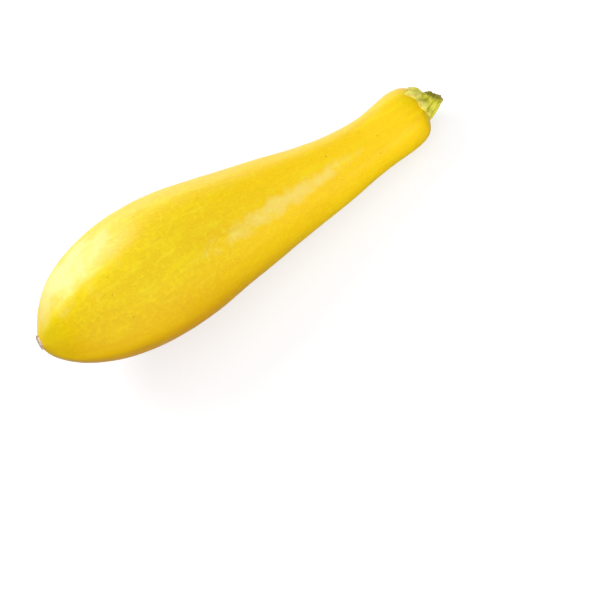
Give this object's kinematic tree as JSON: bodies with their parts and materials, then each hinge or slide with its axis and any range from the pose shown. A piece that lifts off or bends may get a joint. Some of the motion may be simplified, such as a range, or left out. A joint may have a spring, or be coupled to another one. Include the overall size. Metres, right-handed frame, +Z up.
{
  "type": "yellow summer squash",
  "caption": "Whole straightneck yellow summer squash lying on its side, with a cut stem stub and a corky blossom scar; food prop for kitchens and produce displays.",
  "frame": {"origin": "on the surface the squash lies on, under the middle of its box", "axes": "+X along the fruit towards the stem, +Z up, +Y across; the neck bows towards -Y and its end turns towards +Y"},
  "size_m": [0.224, 0.0674, 0.0684],
  "materials": {
    "rind": "smooth waxy rind, satin gloss, golden on the neck and paler on the bulb",
    "green_stem": "ribbed fibrous stem, matt, yellow-green",
    "dry_cork": "dry rough corky tissue, matt"
  },
  "bodies": {
    "root": {"fruit": "rind", "stem": "green_stem", "blossom_scar": "dry_cork"}
  },
  "joints": []
}
